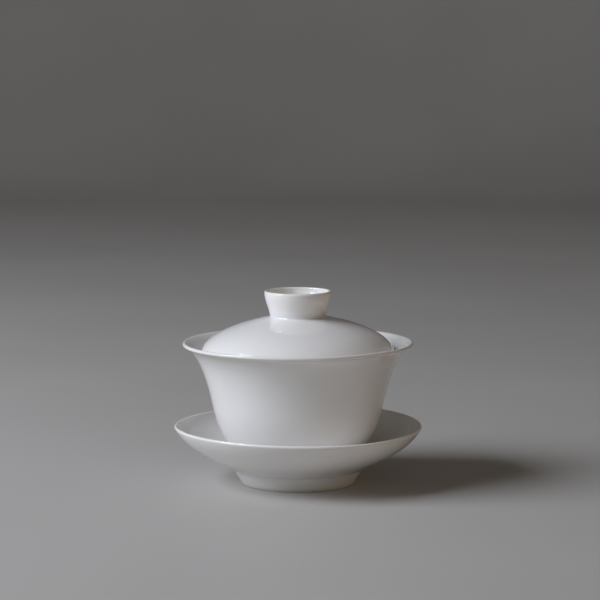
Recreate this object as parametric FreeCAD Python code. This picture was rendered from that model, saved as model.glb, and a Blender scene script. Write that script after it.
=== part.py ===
import FreeCAD, Part
import math
import os

# Gaiwan: a porcelain tea bowl with a domed lid and a saucer, in millimetres.
# The origin is the centre of the face that the saucer stands on, and +Z is the common axis.
# Every piece is turned about that axis, so every outline is drawn as (radius, height).
# A slope is an angle in degrees from outwards towards up. A pair of pulls says how far a curve
# holds its slope, first at its lower or inner end and then at its other end.

# ---- Saucer ----
SAUCER_RADIUS = 53.6
SAUCER_HEIGHT = 24.95
SAUCER_LIP_BEAD = 0.7           # radius of the rounded lip
SAUCER_LIP_SLOPE = 60.4         # slope of the underside where it reaches the lip, degrees
SAUCER_DISH_LIP_SLOPE = 65.0    # slope of the dish where it reaches the lip
SAUCER_FOLD_RADIUS = 28.5       # where the foot meets the underside
SAUCER_FOLD_HEIGHT = 6.3
SAUCER_FOLD_SLOPE = 32.0
SAUCER_UNDERSIDE_PULLS = (7.0, 11.0)
SAUCER_DISH_PULLS = (7.8, 8.7)
SAUCER_FOOT_OUTER = 24.7        # foot ring at the ground
SAUCER_FOOT_INNER = 22.3
SAUCER_RECESS_HEIGHT = 3.7      # ceiling of the hollow inside the foot ring
SAUCER_RECESS_RADIUS = 21.6
WELL_RADIUS = 21.8              # flat well that the bowl's foot stands in
WELL_HEIGHT = 6.4
WELL_STEP_RADIUS = 22.6
WELL_STEP_HEIGHT = 8.2
WELL_STEP_SLOPE = 18.0

# ---- Bowl ----
BOWL_RADIUS = 49.7
BOWL_TOP = 61.2
BOWL_LIP_BEAD = 0.8
BOWL_LIP_SLOPE = 11.0
BOWL_INNER_LIP_SLOPE = 20.0
BOWL_WAIST_RADIUS = 37.8        # where the belly turns into the flare
BOWL_WAIST_HEIGHT = 37.5
BOWL_WAIST_SLOPE = 77.0
BOWL_WAIST_WALL = 2.2
BOWL_HEEL_RADIUS = 20.8         # where the belly meets the foot ring
BOWL_HEEL_HEIGHT = 10.7
BOWL_HEEL_SLOPE = 21.0
BOWL_HEEL_WALL = 2.8
BOWL_FOOT_OUTER = 20.3          # foot ring at its face
BOWL_FOOT_INNER = 18.2
BOWL_RECESS_HEIGHT = 8.5
BOWL_RECESS_RADIUS = 17.7
BOWL_FLOOR_HEIGHT = 11.3
BOWL_BELLY_PULLS = (14.2, 9.4)
BOWL_FLARE_PULLS = (15.3, 3.0)
BOWL_FLARE_INSIDE_PULLS = (3.5, 8.2)
BOWL_BELLY_INSIDE_PULLS = (11.5, 12.8)
BOWL_FLOOR_PULLS = (9.0, 6.0)

# ---- Lid ----
LID_RADIUS = 41.5
LID_EDGE_BEAD = 1.05
LID_SHOULDER_HEIGHT = 57.4      # where the dome has turned down to the upright edge
LID_SEAT_GAP = 0.12             # clearance between the lid's edge and the bowl's flare
LID_WALL = 2.3
LID_INNER_SHOULDER_DROP = 1.0   # how far the inner shoulder lies below the outer one
KNOB_ROOT_RADIUS = 12.0         # where the knob meets the dome
KNOB_ROOT_HEIGHT = 72.0
KNOB_ROOT_SLOPE = 82.0
DOME_SLOPE = -11.0               # slope of the dome at the knob's root
DOME_PULLS = (28.0, 1.0)
DOME_INSIDE_PULLS = (19.6, 3.5)
LID_CEILING_HEIGHT = 70.6
LID_CEILING_PULLS = (4.0, 4.0)
KNOB_RADIUS = 14.5
KNOB_TOP = 83.2
KNOB_LIP_BEAD = 0.75
KNOB_WALL_PULLS = (4.0, 3.5)
KNOB_CUP_RADIUS = 9.7           # inside of the knob at its floor
KNOB_CUP_HEIGHT = 72.7
KNOB_CUP_SLOPE = 68.0
KNOB_CUP_PULLS = (9.0, 0.3)

# ---- Softened corners ----
FOOT_EDGE_ROUND = 0.6
FOOT_ROOT_ROUND = 1.2
SAUCER_FOLD_ROUND = 0.5
KNOB_ROOT_ROUND = 0.7
KNOB_CUP_ROUND = 2.0
WELL_ROUND = 0.5


def at(radius, height):
    return FreeCAD.Vector(radius, 0, height)


def heading(degrees):
    """Unit vector in the outline's plane, measured from outwards towards up."""
    angle = math.radians(degrees)
    return at(math.cos(angle), math.sin(angle))


def line(start, end):
    return Part.LineSegment(start, end).toShape()


def curve(start, start_slope, end, end_slope, pulls):
    """Smooth edge that leaves start and reaches end at the given slopes."""
    near = start + heading(start_slope) * pulls[0]
    far = end - heading(end_slope) * pulls[1]
    poles = [start, near, far, end]
    bezier = Part.BezierCurve()
    bezier.setPoles(poles)
    return bezier.toShape()


def bead(centre, radius, first, last):
    """Round edge about centre, from the angle first to the angle last, in degrees."""
    middle = (first + last) / 2
    points = [centre + heading(angle) * radius for angle in (first, middle, last)]
    return Part.Arc(*points).toShape()


def turned(edges):
    """Solid of revolution about Z of a closed outline."""
    face = Part.Face(Part.Wire(Part.__sortEdges__(edges)))
    return face.revolve(FreeCAD.Vector(0, 0, 0), FreeCAD.Vector(0, 0, 1), 360)


def rounded(solid, corners):
    """Round the circular corners given as (radius, height, fillet radius)."""
    for radius, height, fillet in corners:
        edges = [edge for edge in solid.Edges if is_circle(edge, radius, height)]
        solid = solid.makeFillet(fillet, edges)
    return solid


def is_circle(edge, radius, height):
    if edge.Degenerated or not edge.Closed:
        return False
    rim = edge.Vertexes[0].Point
    return abs(math.hypot(rim.x, rim.y) - radius) < 0.01 and abs(rim.z - height) < 0.01


def make_saucer():
    lip = at(SAUCER_RADIUS - SAUCER_LIP_BEAD, SAUCER_HEIGHT - SAUCER_LIP_BEAD)
    lip_outside = lip + heading(SAUCER_LIP_SLOPE - 90) * SAUCER_LIP_BEAD
    lip_inside = lip + heading(SAUCER_DISH_LIP_SLOPE + 90) * SAUCER_LIP_BEAD
    fold = at(SAUCER_FOLD_RADIUS, SAUCER_FOLD_HEIGHT)
    step = at(WELL_STEP_RADIUS, WELL_STEP_HEIGHT)
    outline = [
        line(at(0, SAUCER_RECESS_HEIGHT), at(SAUCER_RECESS_RADIUS, SAUCER_RECESS_HEIGHT)),
        line(at(SAUCER_RECESS_RADIUS, SAUCER_RECESS_HEIGHT), at(SAUCER_FOOT_INNER, 0)),
        line(at(SAUCER_FOOT_INNER, 0), at(SAUCER_FOOT_OUTER, 0)),
        line(at(SAUCER_FOOT_OUTER, 0), fold),
        curve(fold, SAUCER_FOLD_SLOPE, lip_outside, SAUCER_LIP_SLOPE, SAUCER_UNDERSIDE_PULLS),
        bead(lip, SAUCER_LIP_BEAD, SAUCER_LIP_SLOPE - 90, SAUCER_DISH_LIP_SLOPE + 90),
        curve(step, WELL_STEP_SLOPE, lip_inside, SAUCER_DISH_LIP_SLOPE, SAUCER_DISH_PULLS),
        line(step, at(WELL_RADIUS, WELL_HEIGHT)),
        line(at(WELL_RADIUS, WELL_HEIGHT), at(0, WELL_HEIGHT)),
        line(at(0, WELL_HEIGHT), at(0, SAUCER_RECESS_HEIGHT)),
    ]
    corners = [
        (SAUCER_RECESS_RADIUS, SAUCER_RECESS_HEIGHT, FOOT_ROOT_ROUND),
        (SAUCER_FOOT_INNER, 0, FOOT_EDGE_ROUND),
        (SAUCER_FOOT_OUTER, 0, FOOT_EDGE_ROUND),
        (SAUCER_FOLD_RADIUS, SAUCER_FOLD_HEIGHT, SAUCER_FOLD_ROUND),
        (WELL_STEP_RADIUS, WELL_STEP_HEIGHT, WELL_ROUND),
        (WELL_RADIUS, WELL_HEIGHT, WELL_ROUND),
    ]
    return rounded(turned(outline), corners)


def bowl_flare_inside():
    """Inner face of the bowl from its waist to its lip, where the lid's edge rests."""
    waist = at(BOWL_WAIST_RADIUS, BOWL_WAIST_HEIGHT) + heading(BOWL_WAIST_SLOPE + 90) * BOWL_WAIST_WALL
    lip = at(BOWL_RADIUS - BOWL_LIP_BEAD, BOWL_TOP - BOWL_LIP_BEAD)
    lip_inside = lip + heading(BOWL_INNER_LIP_SLOPE + 90) * BOWL_LIP_BEAD
    return curve(waist, BOWL_WAIST_SLOPE, lip_inside, BOWL_INNER_LIP_SLOPE, BOWL_FLARE_INSIDE_PULLS)


def make_bowl():
    lip = at(BOWL_RADIUS - BOWL_LIP_BEAD, BOWL_TOP - BOWL_LIP_BEAD)
    lip_outside = lip + heading(BOWL_LIP_SLOPE - 90) * BOWL_LIP_BEAD
    waist = at(BOWL_WAIST_RADIUS, BOWL_WAIST_HEIGHT)
    waist_inside = waist + heading(BOWL_WAIST_SLOPE + 90) * BOWL_WAIST_WALL
    heel = at(BOWL_HEEL_RADIUS, BOWL_HEEL_HEIGHT)
    heel_inside = heel + heading(BOWL_HEEL_SLOPE + 90) * BOWL_HEEL_WALL
    outline = [
        line(at(0, BOWL_RECESS_HEIGHT), at(BOWL_RECESS_RADIUS, BOWL_RECESS_HEIGHT)),
        line(at(BOWL_RECESS_RADIUS, BOWL_RECESS_HEIGHT), at(BOWL_FOOT_INNER, WELL_HEIGHT)),
        line(at(BOWL_FOOT_INNER, WELL_HEIGHT), at(BOWL_FOOT_OUTER, WELL_HEIGHT)),
        line(at(BOWL_FOOT_OUTER, WELL_HEIGHT), heel),
        curve(heel, BOWL_HEEL_SLOPE, waist, BOWL_WAIST_SLOPE, BOWL_BELLY_PULLS),
        curve(waist, BOWL_WAIST_SLOPE, lip_outside, BOWL_LIP_SLOPE, BOWL_FLARE_PULLS),
        bead(lip, BOWL_LIP_BEAD, BOWL_LIP_SLOPE - 90, BOWL_INNER_LIP_SLOPE + 90),
        bowl_flare_inside(),
        curve(heel_inside, BOWL_HEEL_SLOPE, waist_inside, BOWL_WAIST_SLOPE, BOWL_BELLY_INSIDE_PULLS),
        curve(at(0, BOWL_FLOOR_HEIGHT), 0, heel_inside, BOWL_HEEL_SLOPE, BOWL_FLOOR_PULLS),
        line(at(0, BOWL_FLOOR_HEIGHT), at(0, BOWL_RECESS_HEIGHT)),
    ]
    corners = [
        (BOWL_RECESS_RADIUS, BOWL_RECESS_HEIGHT, FOOT_EDGE_ROUND),
        (BOWL_FOOT_INNER, WELL_HEIGHT, FOOT_EDGE_ROUND),
        (BOWL_FOOT_OUTER, WELL_HEIGHT, FOOT_EDGE_ROUND),
        (BOWL_HEEL_RADIUS, BOWL_HEEL_HEIGHT, FOOT_ROOT_ROUND),
    ]
    return rounded(turned(outline), corners)


def lid_edge_height():
    """Height of the centre of the lid's rounded edge when it rests in the bowl's flare."""
    flare = bowl_flare_inside().Curve
    reach = LID_EDGE_BEAD + LID_SEAT_GAP
    low, high = flare.FirstParameter, flare.LastParameter
    for _ in range(40):
        middle = (low + high) / 2
        tangent = flare.tangent(middle)[0]
        centre = flare.value(middle) + at(-tangent.z, tangent.x) * reach
        if centre.x < LID_RADIUS - LID_EDGE_BEAD:
            low = middle
        else:
            high = middle
    return centre.z


def make_lid():
    edge = at(LID_RADIUS - LID_EDGE_BEAD, lid_edge_height())
    shoulder = at(LID_RADIUS, LID_SHOULDER_HEIGHT)
    shoulder_inside = shoulder - at(LID_WALL, LID_INNER_SHOULDER_DROP)
    root = at(KNOB_ROOT_RADIUS, KNOB_ROOT_HEIGHT)
    ceiling = root + heading(DOME_SLOPE - 90) * LID_WALL
    knob_lip = at(KNOB_RADIUS - KNOB_LIP_BEAD, KNOB_TOP - KNOB_LIP_BEAD)
    knob_lip_inside = knob_lip - at(KNOB_LIP_BEAD, 0)
    cup_corner = at(KNOB_CUP_RADIUS, KNOB_CUP_HEIGHT)
    outline = [
        curve(at(0, LID_CEILING_HEIGHT), 0, ceiling, DOME_SLOPE, LID_CEILING_PULLS),
        curve(ceiling, DOME_SLOPE, shoulder_inside, -90, DOME_INSIDE_PULLS),
        line(shoulder_inside, edge - at(LID_EDGE_BEAD, 0)),
        bead(edge, LID_EDGE_BEAD, -180, 0),
        line(edge + at(LID_EDGE_BEAD, 0), shoulder),
        curve(root, DOME_SLOPE, shoulder, -90, DOME_PULLS),
        curve(root, KNOB_ROOT_SLOPE, knob_lip + at(KNOB_LIP_BEAD, 0), 90, KNOB_WALL_PULLS),
        bead(knob_lip, KNOB_LIP_BEAD, 0, 180),
        curve(cup_corner, KNOB_CUP_SLOPE, knob_lip_inside, 90, KNOB_CUP_PULLS),
        line(cup_corner, at(0, KNOB_CUP_HEIGHT)),
        line(at(0, KNOB_CUP_HEIGHT), at(0, LID_CEILING_HEIGHT)),
    ]
    corners = [
        (KNOB_ROOT_RADIUS, KNOB_ROOT_HEIGHT, KNOB_ROOT_ROUND),
        (KNOB_CUP_RADIUS, KNOB_CUP_HEIGHT, KNOB_CUP_ROUND),
    ]
    return rounded(turned(outline), corners)


os.makedirs("parts", exist_ok=True)
make_saucer().exportStep("parts/saucer.step")
make_bowl().exportStep("parts/bowl.step")
make_lid().exportStep("parts/lid.step")
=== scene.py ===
import math

import bpy
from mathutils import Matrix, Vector


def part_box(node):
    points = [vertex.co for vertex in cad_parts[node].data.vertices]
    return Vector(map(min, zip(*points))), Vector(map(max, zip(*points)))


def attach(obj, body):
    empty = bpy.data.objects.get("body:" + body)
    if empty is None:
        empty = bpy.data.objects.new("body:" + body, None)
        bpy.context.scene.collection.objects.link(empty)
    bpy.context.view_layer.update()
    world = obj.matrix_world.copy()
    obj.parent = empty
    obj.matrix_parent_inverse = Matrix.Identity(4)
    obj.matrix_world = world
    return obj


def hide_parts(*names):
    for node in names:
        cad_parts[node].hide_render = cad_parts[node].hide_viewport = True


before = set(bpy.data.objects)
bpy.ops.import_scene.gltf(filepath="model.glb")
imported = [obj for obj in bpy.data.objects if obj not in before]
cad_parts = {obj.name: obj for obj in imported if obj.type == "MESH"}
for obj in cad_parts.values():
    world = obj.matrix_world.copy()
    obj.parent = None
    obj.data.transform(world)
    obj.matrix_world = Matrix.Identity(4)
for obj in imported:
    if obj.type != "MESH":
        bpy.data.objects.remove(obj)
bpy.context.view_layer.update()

# A gaiwan in glazed porcelain: saucer, bowl and lid, each one lathed from its own outline.
# Outlines are (radius, height) in millimetres, with the CAD part's dimensions, and meshes are in metres.
# A slope is an angle in degrees from outwards towards up. A pair of pulls says how far a curve
# holds its slope, first at its lower or inner end and then at its other end.
MM = 0.001
SEGMENTS = 240                  # faces round each piece

# ---- Saucer ----
SAUCER_RADIUS = 53.6
SAUCER_HEIGHT = 24.95
SAUCER_LIP_BEAD = 0.7
SAUCER_LIP_SLOPE = 60.4
SAUCER_DISH_LIP_SLOPE = 65.0
SAUCER_FOLD = (28.5, 6.3)       # where the foot meets the underside
SAUCER_FOLD_SLOPE = 32.0
SAUCER_UNDERSIDE_PULLS = (7.0, 11.0)
SAUCER_DISH_PULLS = (7.8, 8.7)
SAUCER_FOOT_OUTER = 24.7
SAUCER_FOOT_INNER = 22.3
SAUCER_RECESS = (21.6, 3.7)     # corner of the hollow inside the foot ring
WELL_RADIUS = 21.8
WELL_HEIGHT = 6.4
WELL_STEP = (22.6, 8.2)
WELL_STEP_SLOPE = 18.0

# ---- Bowl ----
BOWL_RADIUS = 49.7
BOWL_TOP = 61.2
BOWL_LIP_BEAD = 0.8
BOWL_LIP_SLOPE = 11.0
BOWL_INNER_LIP_SLOPE = 20.0
BOWL_WAIST = (37.8, 37.5)       # where the belly turns into the flare
BOWL_WAIST_SLOPE = 77.0
BOWL_WAIST_WALL = 2.2
BOWL_HEEL = (20.8, 10.7)        # where the belly meets the foot ring
BOWL_HEEL_SLOPE = 21.0
BOWL_HEEL_WALL = 2.8
BOWL_FOOT_OUTER = 20.3
BOWL_FOOT_INNER = 18.2
BOWL_RECESS = (17.7, 8.5)
BOWL_FLOOR_HEIGHT = 11.3
BOWL_BELLY_PULLS = (14.2, 9.4)
BOWL_FLARE_PULLS = (15.3, 3.0)
BOWL_FLARE_INSIDE_PULLS = (3.5, 8.2)
BOWL_BELLY_INSIDE_PULLS = (11.5, 12.8)
BOWL_FLOOR_PULLS = (9.0, 6.0)

# ---- Lid ----
LID_RADIUS = 41.5
LID_EDGE_BEAD = 1.05
LID_SHOULDER_HEIGHT = 57.4
LID_WALL = 2.3
LID_INNER_SHOULDER_DROP = 1.0
KNOB_ROOT = (12.0, 72.0)        # where the knob meets the dome
KNOB_ROOT_SLOPE = 82.0
DOME_SLOPE = -11.0
DOME_PULLS = (28.0, 1.0)
DOME_INSIDE_PULLS = (19.6, 3.5)
LID_CEILING_HEIGHT = 70.6
LID_CEILING_PULLS = (4.0, 4.0)
KNOB_RADIUS = 14.5
KNOB_TOP = 83.2
KNOB_LIP_BEAD = 0.75
KNOB_WALL_PULLS = (4.0, 3.5)
KNOB_CUP = (9.7, 72.7)          # corner of the hollow in the knob
KNOB_CUP_SLOPE = 68.0
KNOB_CUP_PULLS = (9.0, 0.3)

# ---- Softened corners, and where the glaze stops ----
FOOT_EDGE_ROUND = 0.6
FOOT_ROOT_ROUND = 1.2
SAUCER_FOLD_ROUND = 0.5
KNOB_ROOT_ROUND = 0.7
KNOB_CUP_ROUND = 2.0
WELL_ROUND = 0.5
GLAZE_STOP = 0.75               # height of bare clay on the walls of a foot ring
EDGE_GLAZE_STOP = 30.0          # the lid's edge is bare below this angle under its widest point

# ---- How firing has warped each piece, in millimetres ----
SAUCER_WARP = (0.30, -90)       # lift of the saddle, and where round the piece it starts in degrees
BOWL_WARP = (0.07, 130)         # the lid was fired in the bowl and has warped with it
TRUE_RADIUS = 28.0              # nothing within this radius has moved
WARP_REACH = 22.0               # the warp has grown to its stated size this far beyond the true radius
OVAL_WARP = 0.08                # out of round, with two high places
TREFOIL_WARP = 0.03             # out of round, with three high places
RIPPLE_WARP = 0.03              # lift, with five high places

# ---- How glaze flows before it sets ----
GLAZE_FLOW = 1.3                # distance that it evens out over, in millimetres
GLAZE_GATHERING = 1.4           # how strongly it leaves a lip and fills a corner

# ---- Surface: sizes and depths in millimetres ----
TONE_SIZE = 38                  # drift between the cool and the warm body
GLOSS_SIZE = 14                 # duller patches
SPECK_SPACING = 9.0
SPECK_SHARE = 0.07              # of the places that could hold a speck
GRAIN_SIZE = 0.35
SWELL_SIZE, SWELL_DEPTH = 17, 0.008
RING_SIZE, RING_DEPTH = 1.8, 0.0008
SKIN_SIZE, SKIN_DEPTH = 1.6, 0.0005
GRIT_DEPTH = 0.06
GLAZE_ROUGHNESS = (0.012, 0.03)
CLAY_ROUGHNESS = 0.78
GLAZE_IOR = 1.52
TRANSLUCENCE = 0.25
LIGHT_REACH = 1.5               # how far light spreads in the body
LIGHT_REACH_BY_COLOUR = (1.0, 0.8, 0.62)

# ---- Studio: metres, watts and degrees ----
FLOOR_FLAT = 1.7                # radius where the floor starts to sweep up
FLOOR_SWEEP = 0.6
WALL_TOP = 1.0
FLOOR_SEGMENTS = 96
FLOOR_TONE_SIZE = 240           # millimetres
FLOOR_ROUGHNESS = 0.55
LAMP_AIM = (0, 0, 0.045)
ROOM_GLOW = 0.05
CAMERA_PLACE = (0.00086, -0.940, 0.1887)
CAMERA_TILT = 6.65              # below level
LENS = 132.0                    # millimetres, as the sensor
SENSOR = 36.0


# ---------------------------------------------------------------- outlines

def at(radius, height):
    return Vector((radius, height))


def heading(degrees):
    angle = math.radians(degrees)
    return Vector((math.cos(angle), math.sin(angle)))


def line(start, end, spacing=0.9):
    count = max(1, round((end - start).length / spacing))
    return [start.lerp(end, i / count) for i in range(count + 1)]


def cubic(start, near, far, end, count):
    points = []
    for i in range(count + 1):
        t = i / count
        u = 1 - t
        points.append(start * u**3 + near * (3 * u * u * t) + far * (3 * u * t * t) + end * t**3)
    return points


def curve(start, start_slope, end, end_slope, pulls, spacing=0.8):
    """Smooth stretch that leaves start and reaches end at the given slopes."""
    near = start + heading(start_slope) * pulls[0]
    far = end - heading(end_slope) * pulls[1]
    return cubic(start, near, far, end, max(6, round((end - start).length / spacing)))


def bead(centre, radius, first, last, step=12.0):
    count = max(2, round(abs(last - first) / step))
    return [centre + heading(first + (last - first) * i / count) * radius for i in range(count + 1)]


def cut_end(points, reach):
    """The stretch shortened by reach at its end, and the direction it has there."""
    points = list(points)
    while len(points) > 2 and (points[-1] - points[-2]).length <= reach:
        reach -= (points[-1] - points[-2]).length
        points.pop()
    step = points[-1] - points[-2]
    points[-1] = points[-1] - step.normalized() * min(reach, step.length * 0.9)
    return points, step.normalized()


def corner(before, after, radius):
    """Both stretches cut back from the corner between them, and the round between their new ends."""
    turn = (before[-1] - before[-2]).angle(after[1] - after[0])
    reach = radius * math.tan(turn / 2)
    before, way_in = cut_end(before, reach)
    backwards, way_back = cut_end(after[::-1], reach)
    after = backwards[::-1]
    turn = way_in.angle(-way_back)
    pull = (after[0] - before[-1]).length / math.sin(turn / 2) * math.tan(turn / 4) * 2 / 3
    count = max(4, round(math.degrees(turn) / 11))
    arc = cubic(before[-1], before[-1] + way_in * pull, after[0] + way_back * pull, after[0], count)
    return before, arc[1:-1], after


def joined(stretches):
    """One outline from (points, bare, rounding) stretches, as a list of (point, bare).

    Bare is 1 on clay without glaze. The rounding softens the corner at a stretch's end.
    """
    lines = [list(points) for points, _, _ in stretches]
    outline = []
    for i, (_, bare, rounding) in enumerate(stretches):
        arc = []
        if rounding:
            lines[i], arc, lines[i + 1] = corner(lines[i], lines[i + 1], rounding)
        outline += [(point, bare) for point in lines[i]]
        for k, point in enumerate(arc):
            share = (k + 1) / (len(arc) + 1)
            outline.append((point, bare + (stretches[i + 1][1] - bare) * share))
    return without_doubles(outline)


def without_doubles(outline):
    kept = [outline[0]]
    for point, bare in outline[1:]:
        if (point - kept[-1][0]).length > 0.02:
            kept.append((point, bare))
    return kept


def glaze_line(ground, top):
    """Where the glaze stops on the wall of a foot ring."""
    return ground.lerp(top, GLAZE_STOP / (top.y - ground.y))


def saucer_outline():
    lip = at(SAUCER_RADIUS - SAUCER_LIP_BEAD, SAUCER_HEIGHT - SAUCER_LIP_BEAD)
    lip_outside = lip + heading(SAUCER_LIP_SLOPE - 90) * SAUCER_LIP_BEAD
    lip_inside = lip + heading(SAUCER_DISH_LIP_SLOPE + 90) * SAUCER_LIP_BEAD
    recess = at(*SAUCER_RECESS)
    inner, outer = at(SAUCER_FOOT_INNER, 0), at(SAUCER_FOOT_OUTER, 0)
    fold = at(*SAUCER_FOLD)
    inner_glaze, outer_glaze = glaze_line(inner, recess), glaze_line(outer, fold)
    step, well = at(*WELL_STEP), at(WELL_RADIUS, WELL_HEIGHT)
    dish = curve(step, WELL_STEP_SLOPE, lip_inside, SAUCER_DISH_LIP_SLOPE, SAUCER_DISH_PULLS)
    return joined([
        (line(at(0, recess.y), recess), 0, FOOT_ROOT_ROUND),
        (line(recess, inner_glaze), 0, 0),
        (line(inner_glaze, inner), 1, FOOT_EDGE_ROUND),
        (line(inner, outer, 0.4), 1, FOOT_EDGE_ROUND),
        (line(outer, outer_glaze), 1, 0),
        (line(outer_glaze, fold), 0, SAUCER_FOLD_ROUND),
        (curve(fold, SAUCER_FOLD_SLOPE, lip_outside, SAUCER_LIP_SLOPE, SAUCER_UNDERSIDE_PULLS), 0, 0),
        (bead(lip, SAUCER_LIP_BEAD, SAUCER_LIP_SLOPE - 90, SAUCER_DISH_LIP_SLOPE + 90), 0, 0),
        (dish[::-1], 0, WELL_ROUND),
        (line(step, well), 0, WELL_ROUND),
        (line(well, at(0, WELL_HEIGHT)), 0, 0),
    ])


def bowl_outline():
    lip = at(BOWL_RADIUS - BOWL_LIP_BEAD, BOWL_TOP - BOWL_LIP_BEAD)
    lip_outside = lip + heading(BOWL_LIP_SLOPE - 90) * BOWL_LIP_BEAD
    lip_inside = lip + heading(BOWL_INNER_LIP_SLOPE + 90) * BOWL_LIP_BEAD
    waist = at(*BOWL_WAIST)
    waist_inside = waist + heading(BOWL_WAIST_SLOPE + 90) * BOWL_WAIST_WALL
    heel = at(*BOWL_HEEL)
    heel_inside = heel + heading(BOWL_HEEL_SLOPE + 90) * BOWL_HEEL_WALL
    recess = at(*BOWL_RECESS)
    inner, outer = at(BOWL_FOOT_INNER, WELL_HEIGHT), at(BOWL_FOOT_OUTER, WELL_HEIGHT)
    inner_glaze, outer_glaze = glaze_line(inner, recess), glaze_line(outer, heel)
    waist_slope, heel_slope = BOWL_WAIST_SLOPE, BOWL_HEEL_SLOPE
    lip_slope = BOWL_INNER_LIP_SLOPE
    flare_inside = curve(waist_inside, waist_slope, lip_inside, lip_slope, BOWL_FLARE_INSIDE_PULLS)
    belly_inside = curve(heel_inside, heel_slope, waist_inside, waist_slope, BOWL_BELLY_INSIDE_PULLS)
    floor = curve(at(0, BOWL_FLOOR_HEIGHT), 0, heel_inside, heel_slope, BOWL_FLOOR_PULLS)
    return joined([
        (line(at(0, recess.y), recess), 0, FOOT_EDGE_ROUND),
        (line(recess, inner_glaze), 0, 0),
        (line(inner_glaze, inner), 1, FOOT_EDGE_ROUND),
        (line(inner, outer, 0.4), 1, FOOT_EDGE_ROUND),
        (line(outer, outer_glaze), 1, 0),
        (line(outer_glaze, heel), 0, FOOT_ROOT_ROUND),
        (curve(heel, heel_slope, waist, waist_slope, BOWL_BELLY_PULLS), 0, 0),
        (curve(waist, waist_slope, lip_outside, BOWL_LIP_SLOPE, BOWL_FLARE_PULLS), 0, 0),
        (bead(lip, BOWL_LIP_BEAD, BOWL_LIP_SLOPE - 90, BOWL_INNER_LIP_SLOPE + 90), 0, 0),
        (flare_inside[::-1], 0, 0),
        (belly_inside[::-1], 0, 0),
        (floor[::-1], 0, 0),
    ])


def lid_outline():
    edge = at(LID_RADIUS - LID_EDGE_BEAD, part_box("lid")[0].z / MM + LID_EDGE_BEAD)
    shoulder = at(LID_RADIUS, LID_SHOULDER_HEIGHT)
    shoulder_inside = shoulder - at(LID_WALL, LID_INNER_SHOULDER_DROP)
    root = at(*KNOB_ROOT)
    ceiling = root + heading(DOME_SLOPE - 90) * LID_WALL
    knob_lip = at(KNOB_RADIUS - KNOB_LIP_BEAD, KNOB_TOP - KNOB_LIP_BEAD)
    lip_outside, lip_inside = knob_lip + at(KNOB_LIP_BEAD, 0), knob_lip - at(KNOB_LIP_BEAD, 0)
    cup = at(*KNOB_CUP)
    dome = curve(root, DOME_SLOPE, shoulder, -90, DOME_PULLS)
    bare_from, bare_to = EDGE_GLAZE_STOP - 180, -EDGE_GLAZE_STOP
    return joined([
        (curve(at(0, LID_CEILING_HEIGHT), 0, ceiling, DOME_SLOPE, LID_CEILING_PULLS), 0, 0),
        (curve(ceiling, DOME_SLOPE, shoulder_inside, -90, DOME_INSIDE_PULLS), 0, 0),
        (line(shoulder_inside, edge - at(LID_EDGE_BEAD, 0)), 0, 0),
        (bead(edge, LID_EDGE_BEAD, -180, bare_from), 0, 0),
        (bead(edge, LID_EDGE_BEAD, bare_from, bare_to), 1, 0),
        (bead(edge, LID_EDGE_BEAD, bare_to, 0), 0, 0),
        (line(edge + at(LID_EDGE_BEAD, 0), shoulder), 0, 0),
        (dome[::-1], 0, KNOB_ROOT_ROUND),
        (curve(root, KNOB_ROOT_SLOPE, lip_outside, 90, KNOB_WALL_PULLS, 0.5), 0, 0),
        (bead(knob_lip, KNOB_LIP_BEAD, 0, 180), 0, 0),
        (curve(cup, KNOB_CUP_SLOPE, lip_inside, 90, KNOB_CUP_PULLS, 0.5)[::-1], 0, KNOB_CUP_ROUND),
        (line(cup, at(0, cup.y)), 0, 0),
    ])


# ---------------------------------------------------------------- meshes

def pooling(points):
    """How much glaze gathers at each outline point, from -1 on a sharp lip to 1 in a hollow corner."""
    turns = [0.0] * len(points)
    for i in range(1, len(points) - 1):
        before = points[i] - points[i - 1]
        after = points[i + 1] - points[i]
        turns[i] = before.x * after.y - before.y * after.x
        turns[i] /= max(before.length * after.length, 1e-9)
    amounts = []
    for here in points:
        total = 0.0
        for other, turn in zip(points, turns):
            total += turn * math.exp(-((here - other).length / GLAZE_FLOW) ** 2)
        amounts.append(max(-1.0, min(1.0, -total * GLAZE_GATHERING)))
    return amounts


def warp(angle, point, lift, phase):
    """How far firing has moved a point outwards and upwards, in millimetres. Feet and knob stay true."""
    share = (max(0.0, point.x - TRUE_RADIUS) / WARP_REACH) ** 2
    out = OVAL_WARP * math.cos(2 * angle + 2 * phase) + TREFOIL_WARP * math.cos(3 * angle + phase)
    up = lift * math.cos(2 * angle + phase) + RIPPLE_WARP * math.cos(5 * angle - phase)
    return out * share, up * share


def lathe(name, outline, body, material, warped):
    """One piece turned from its outline, warped by firing, in the place of the CAD node of its body."""
    points = [point for point, _ in outline]
    rings = points[1:-1]
    lift, phase = warped[0], math.radians(warped[1])
    verts = [(0, 0, points[0].y * MM)]
    for point in rings:
        for j in range(SEGMENTS):
            angle = math.tau * j / SEGMENTS
            out, up = warp(angle, point, lift, phase)
            radius = (point.x + out) * MM
            verts.append((radius * math.cos(angle), radius * math.sin(angle), (point.y + up) * MM))
    verts.append((0, 0, points[-1].y * MM))
    faces = []
    last = len(verts) - 1
    top = 1 + (len(rings) - 1) * SEGMENTS
    for j in range(SEGMENTS):
        k = (j + 1) % SEGMENTS
        faces.append((0, 1 + k, 1 + j))
        for low in range(1, top, SEGMENTS):
            high = low + SEGMENTS
            faces.append((low + j, low + k, high + k, high + j))
        faces.append((last, top + j, top + k))
    mesh = bpy.data.meshes.new(name)
    mesh.from_pydata(verts, [], faces)
    mesh.polygons.foreach_set("use_smooth", [True] * len(mesh.polygons))
    store(mesh, "bare", [bare for _, bare in outline])
    store(mesh, "pool", pooling(points))
    mesh.materials.append(material)
    piece = bpy.data.objects.new(name, mesh)
    bpy.context.scene.collection.objects.link(piece)
    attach(piece, body)
    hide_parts(body)


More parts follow.
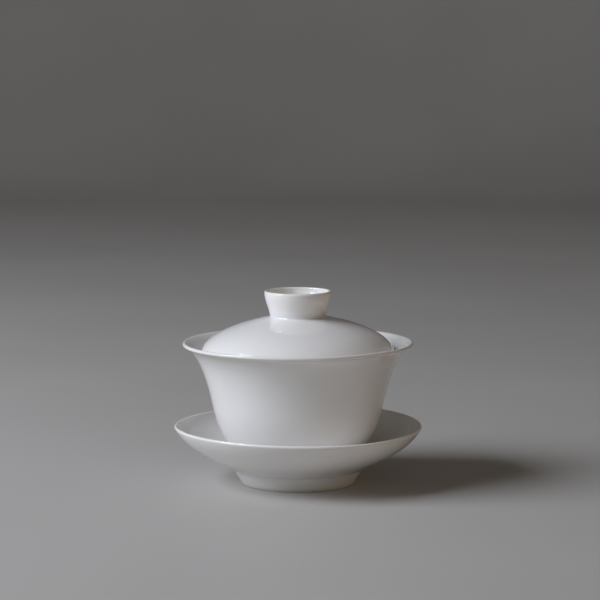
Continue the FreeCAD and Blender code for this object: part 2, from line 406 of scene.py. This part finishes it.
def store(mesh, name, values):
    """Keeps one value per outline point on every vertex turned from it."""
    per_vertex = [values[0]]
    for value in values[1:-1]:
        per_vertex += [value] * SEGMENTS
    per_vertex.append(values[-1])
    attribute = mesh.attributes.new(name, "FLOAT", "POINT")
    attribute.data.foreach_set("value", per_vertex)


# ---------------------------------------------------------------- materials

class Nodes:
    """Short calls for building a material's node tree."""

    def __init__(self, name):
        self.material = bpy.data.materials.new(name)
        self.material.use_nodes = True
        self.tree = self.material.node_tree
        self.shader = self.tree.nodes["Principled BSDF"]

    def new(self, kind, **settings):
        node = self.tree.nodes.new(kind)
        for key, value in settings.items():
            setattr(node, key, value)
        return node

    def put(self, value, socket):
        if hasattr(value, "is_output"):
            self.tree.links.new(value, socket)
        else:
            socket.default_value = value

    def math(self, operation, a, b=0.0):
        node = self.new("ShaderNodeMath", operation=operation)
        self.put(a, node.inputs[0])
        self.put(b, node.inputs[1])
        return node.outputs[0]

    def spread(self, value, low, high, to_low=0.0, to_high=1.0):
        node = self.new("ShaderNodeMapRange", interpolation_type="SMOOTHSTEP")
        for socket, given in zip(node.inputs, (value, low, high, to_low, to_high)):
            self.put(given, socket)
        return node.outputs[0]

    def mix(self, share, a, b):
        """Colour between a and b, whose sockets are 6 and 7 on a mix node."""
        node = self.new("ShaderNodeMix", data_type="RGBA")
        self.put(share, node.inputs[0])
        self.put(a, node.inputs[6])
        self.put(b, node.inputs[7])
        return node.outputs[2]

    def attribute(self, name):
        return self.new("ShaderNodeAttribute", attribute_name=name).outputs["Fac"]

    def place(self):
        return self.new("ShaderNodeTexCoord").outputs["Object"]

    def turned_place(self):
        """The place as (radius, 0, height), so that a pattern on it runs round the piece in rings."""
        apart = self.new("ShaderNodeSeparateXYZ")
        self.put(self.place(), apart.inputs[0])
        x, y, z = apart.outputs
        flat = self.math("ADD", self.math("MULTIPLY", x, x), self.math("MULTIPLY", y, y))
        together = self.new("ShaderNodeCombineXYZ")
        self.put(self.math("SQRT", flat), together.inputs[0])
        self.put(z, together.inputs[2])
        return together.outputs[0]

    def noise(self, size_mm, detail=2.0, roughness=0.5, place=None):
        node = self.new("ShaderNodeTexNoise")
        self.put(place or self.place(), node.inputs["Vector"])
        node.inputs["Scale"].default_value = 1.0 / (size_mm * MM)
        node.inputs["Detail"].default_value = detail
        node.inputs["Roughness"].default_value = roughness
        return node.outputs[0]

    def bump(self, height, depth_mm, below=None):
        node = self.new("ShaderNodeBump")
        node.inputs["Distance"].default_value = depth_mm * MM
        self.put(height, node.inputs["Height"])
        if below:
            self.put(below, node.inputs["Normal"])
        return node.outputs[0]


# Base colours are linear red, green, blue.
BODY_COOL = (0.855, 0.844, 0.832, 1)
BODY_WARM = (0.872, 0.858, 0.840, 1)
THICK_GLAZE = (0.80, 0.806, 0.803, 1)
THIN_GLAZE = (0.88, 0.855, 0.81, 1)
IRON_SPECK = (0.30, 0.22, 0.15, 1)
CLAY_DARK = (0.70, 0.68, 0.63, 1)
CLAY_LIGHT = (0.80, 0.785, 0.75, 1)
FLASH = (0.72, 0.62, 0.50, 1)
FLOOR_DARK = (0.49, 0.475, 0.45, 1)
FLOOR_LIGHT = (0.52, 0.505, 0.48, 1)


def porcelain():
    n = Nodes("white_porcelain")
    bare = n.attribute("bare")
    pool = n.attribute("pool")

    # Colour: a clean white body, a breath of blue where the glaze is thick and of cream where it is thin.
    body = n.mix(n.spread(n.noise(TONE_SIZE), 0.35, 0.65), BODY_COOL, BODY_WARM)
    thick = n.spread(pool, 0.1, 0.9)
    thin = n.spread(pool, -0.9, -0.2, 1.0, 0.0)
    glazed = n.mix(n.math("MULTIPLY", thick, 0.7), body, THICK_GLAZE)
    glazed = n.mix(n.math("MULTIPLY", thin, 0.6), glazed, THIN_GLAZE)

    # A few pin-head iron specks under the glaze.
    cells = n.new("ShaderNodeTexVoronoi", feature="F1")
    n.put(n.place(), cells.inputs["Vector"])
    cells.inputs["Scale"].default_value = 1.0 / (SPECK_SPACING * MM)
    dots = n.spread(cells.outputs["Distance"], 0.014, 0.026, 1.0, 0.0)
    chosen = n.new("ShaderNodeSeparateColor")
    n.put(cells.outputs["Color"], chosen.inputs[0])
    dots = n.math("MULTIPLY", dots, n.math("GREATER_THAN", chosen.outputs[0], 1 - SPECK_SHARE))
    glazed = n.mix(n.math("MULTIPLY", dots, 0.5), glazed, IRON_SPECK)

    # Bare clay on the faces that stood on the kiln shelf, with a faint flash of tan where the glaze stops.
    grain = n.noise(GRAIN_SIZE, 3.0, 0.7)
    clay = n.mix(n.spread(grain, 0.3, 0.7), CLAY_DARK, CLAY_LIGHT)
    colour = n.mix(n.spread(bare, 0.35, 0.65), glazed, clay)
    border = n.math("MULTIPLY", n.math("MULTIPLY", bare, n.math("SUBTRACT", 1.0, bare)), 4.0)
    colour = n.mix(n.math("MULTIPLY", border, 0.3), colour, FLASH)
    n.put(colour, n.shader.inputs["Base Color"])

    # Gloss: a clear hard glaze with slightly duller patches, and dry clay under the feet.
    gloss = n.spread(n.noise(GLOSS_SIZE, 3.0, 0.6), 0.3, 0.7, *GLAZE_ROUGHNESS)
    rough = n.new("ShaderNodeMix", data_type="FLOAT")
    n.put(n.spread(bare, 0.3, 0.7), rough.inputs[0])
    n.put(gloss, rough.inputs[2])
    rough.inputs[3].default_value = CLAY_ROUGHNESS
    n.put(rough.outputs[0], n.shader.inputs["Roughness"])

    # Relief: the glaze's slow swell, turning rings, its fine skin, and the grit of the clay.
    swell = n.bump(n.noise(SWELL_SIZE, 1.0), SWELL_DEPTH)
    rings = n.bump(n.noise(RING_SIZE, 1.0, place=n.turned_place()), RING_DEPTH, swell)
    skin = n.bump(n.noise(SKIN_SIZE), SKIN_DEPTH, rings)
    grit = n.bump(n.math("MULTIPLY", grain, n.spread(bare, 0.35, 0.65)), GRIT_DEPTH, skin)
    n.put(grit, n.shader.inputs["Normal"])

    shader = n.shader
    shader.inputs["IOR"].default_value = GLAZE_IOR
    shader.inputs["Subsurface Weight"].default_value = TRANSLUCENCE
    shader.inputs["Subsurface Radius"].default_value = LIGHT_REACH_BY_COLOUR
    shader.inputs["Subsurface Scale"].default_value = LIGHT_REACH * MM
    return n.material


def floor_material():
    n = Nodes("studio_floor")
    tone = n.mix(n.spread(n.noise(FLOOR_TONE_SIZE), 0.3, 0.7), FLOOR_DARK, FLOOR_LIGHT)
    n.put(tone, n.shader.inputs["Base Color"])
    n.shader.inputs["Roughness"].default_value = FLOOR_ROUGHNESS
    return n.material


# ---------------------------------------------------------------- studio

def studio():
    """Round pale floor whose edge sweeps up into a low wall, so that it looks the same from every side."""
    flat_rings, sweep_rings = 6, 16
    profile = [(FLOOR_FLAT * i / flat_rings, 0.0) for i in range(1, flat_rings + 1)]
    for i in range(1, sweep_rings + 1):
        angle = math.pi / 2 * i / sweep_rings
        rise = FLOOR_SWEEP * (1 - math.cos(angle))
        profile.append((FLOOR_FLAT + FLOOR_SWEEP * math.sin(angle), rise))
    profile.append((FLOOR_FLAT + FLOOR_SWEEP, WALL_TOP))
    around = FLOOR_SEGMENTS
    verts = [(0, 0, 0)]
    for radius, height in profile:
        for j in range(around):
            angle = math.tau * j / around
            verts.append((radius * math.cos(angle), radius * math.sin(angle), height))
    faces = [(0, 1 + j, 1 + (j + 1) % around) for j in range(around)]
    for i in range(len(profile) - 1):
        low, high = 1 + i * around, 1 + (i + 1) * around
        for j in range(around):
            k = (j + 1) % around
            faces.append((low + j, high + j, high + k, low + k))
    mesh = bpy.data.meshes.new("floor")
    mesh.from_pydata(verts, [], faces)
    mesh.polygons.foreach_set("use_smooth", [True] * len(mesh.polygons))
    mesh.materials.append(floor_material())
    floor = bpy.data.objects.new("floor", mesh)
    bpy.context.scene.collection.objects.link(floor)


def lamp(name, place, size, power, colour):
    """Soft rectangular lamp that faces the object."""
    light = bpy.data.lights.new(name, "AREA")
    light.shape = "RECTANGLE"
    light.size, light.size_y = size
    light.energy = power
    light.color = colour
    lamp_object = bpy.data.objects.new(name, light)
    lamp_object.location = place
    aim = Vector(LAMP_AIM) - Vector(place)
    lamp_object.rotation_euler = aim.to_track_quat("-Z", "Y").to_euler()
    bpy.context.scene.collection.objects.link(lamp_object)


def lighting():
    """Cool window on the left, warm room on the right, and a little fill from above and in front."""
    lamp("window", (-1.10, -0.36, 0.88), (0.9, 0.75), 21.5, (0.858, 0.902, 1.0))
    lamp("ceiling", (-0.20, 0.10, 1.60), (2.4, 2.4), 0.4, (1.0, 0.95, 0.90))
    lamp("room", (1.10, -0.50, 0.32), (1.3, 0.6), 0.78, (1.0, 0.56, 0.14))
    lamp("fill", (0.05, -1.25, 0.42), (1.0, 0.6), 0.70, (0.93, 1.0, 0.99))
    world = bpy.data.worlds.new("studio")
    world.use_nodes = True
    background = world.node_tree.nodes["Background"]
    background.inputs["Color"].default_value = (1.0, 0.86, 0.72, 1)
    background.inputs["Strength"].default_value = ROOM_GLOW
    bpy.context.scene.world = world
    bpy.context.scene.view_settings.view_transform = "Standard"


def camera():
    data = bpy.data.cameras.new("camera")
    data.lens = LENS
    data.sensor_width = SENSOR
    eye = bpy.data.objects.new("camera", data)
    eye.location = CAMERA_PLACE
    eye.rotation_euler = (math.radians(90 - CAMERA_TILT), 0, 0)
    bpy.context.scene.collection.objects.link(eye)
    bpy.context.scene.camera = eye


glaze = porcelain()
lathe("saucer_glazed", saucer_outline(), "saucer", glaze, SAUCER_WARP)
lathe("bowl_glazed", bowl_outline(), "bowl", glaze, BOWL_WARP)
lathe("lid_glazed", lid_outline(), "lid", glaze, BOWL_WARP)
studio()
lighting()
camera()
